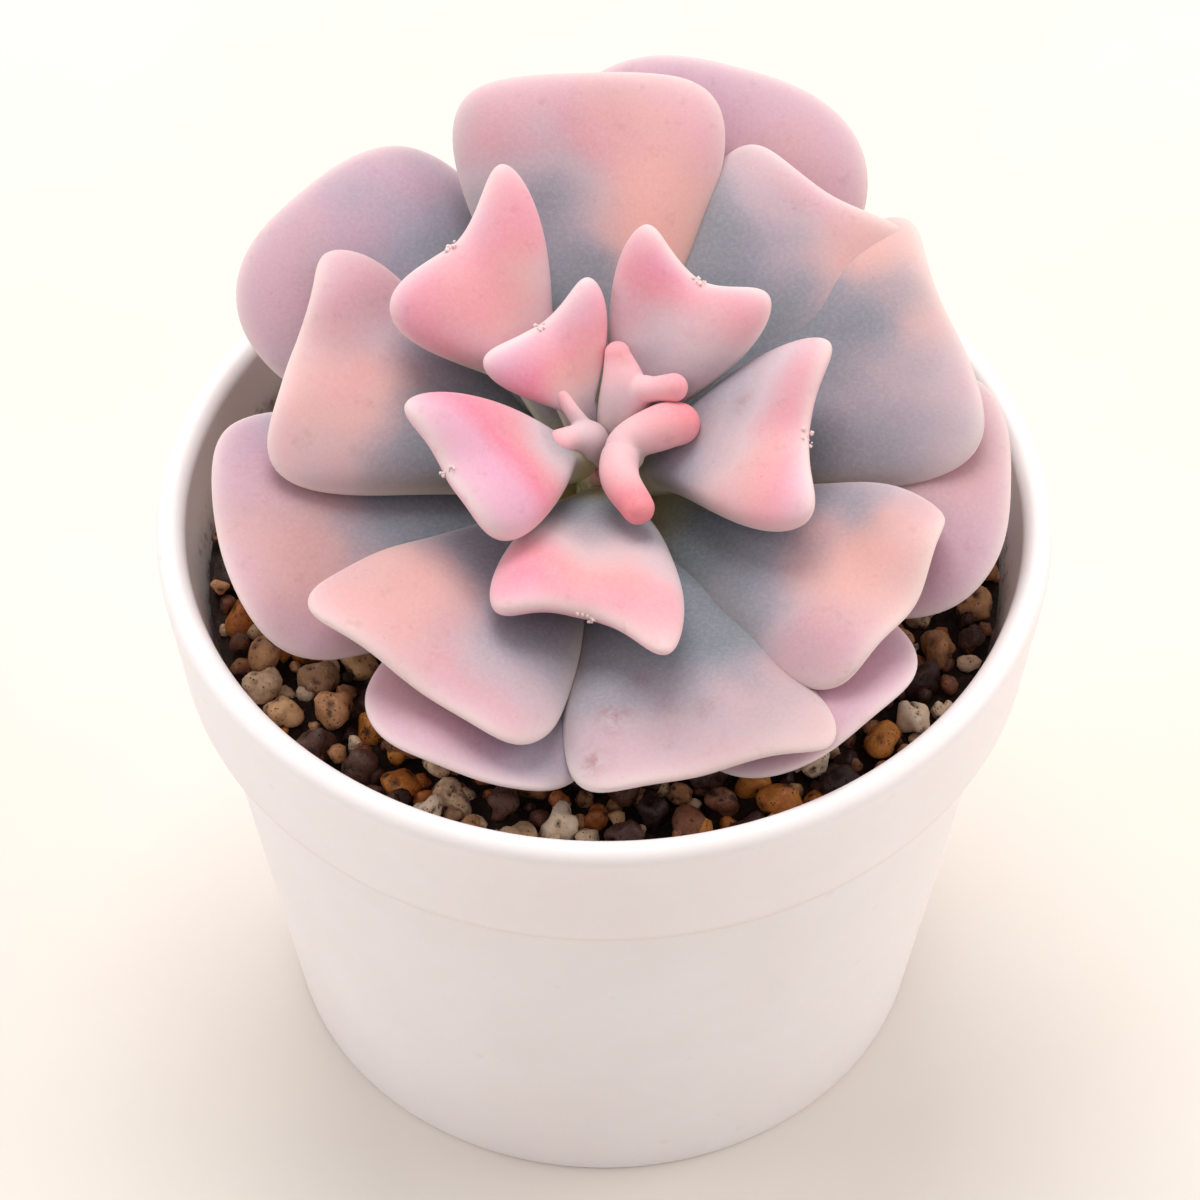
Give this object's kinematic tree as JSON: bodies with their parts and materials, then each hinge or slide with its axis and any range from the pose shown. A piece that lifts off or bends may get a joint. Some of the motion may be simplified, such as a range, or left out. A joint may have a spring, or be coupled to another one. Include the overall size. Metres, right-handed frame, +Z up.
{
  "type": "potted cubic frost echeveria",
  "caption": "Potted succulent: a rosette of fleshy, horn-cornered leaves on a short stem in grit-topped soil, in a tapered pot with a collar.",
  "frame": {"origin": "middle of the underside of the pot", "axes": "+Z up, -Y to the front, where the rosette leans, +X to the right seen from the front"},
  "size_m": [0.09, 0.09, 0.0924],
  "materials": {
    "pot": "satin moulded plastic, warm white",
    "soil": "loose granules of cream pumice, orange-brown clay and dark lava",
    "stem": "matte, green-brown and fleshy",
    "leaf_outer": "powdery matte skin, grey-blue with a mauve-pink edge",
    "leaf_middle": "powdery matte skin, grey-blue at the neck to pink at the corners",
    "leaf_inner": "powdery matte skin, grey-pink with rose-pink horns",
    "leaf_heart": "satin skin, coral pink"
  },
  "bodies": {
    "root": {"pot": "pot", "soil": "soil", "stem": "stem", "leaf_heart_1": "leaf_heart", "leaf_heart_2": "leaf_heart", "leaf_heart_3": "leaf_heart", "leaf_inner_1": "leaf_inner", "leaf_inner_2": "leaf_inner", "leaf_inner_3": "leaf_inner", "leaf_inner_4": "leaf_inner", "leaf_inner_5": "leaf_inner", "leaf_inner_6": "leaf_inner", "leaf_middle_1": "leaf_middle", "leaf_middle_2": "leaf_middle", "leaf_middle_3": "leaf_middle", "leaf_middle_4": "leaf_middle", "leaf_middle_5": "leaf_middle", "leaf_middle_6": "leaf_middle", "leaf_middle_7": "leaf_middle", "leaf_outer_1": "leaf_outer", "leaf_outer_2": "leaf_outer", "leaf_outer_3": "leaf_outer", "leaf_outer_4": "leaf_outer", "leaf_outer_5": "leaf_outer", "leaf_outer_6": "leaf_outer"}
  },
  "joints": []
}
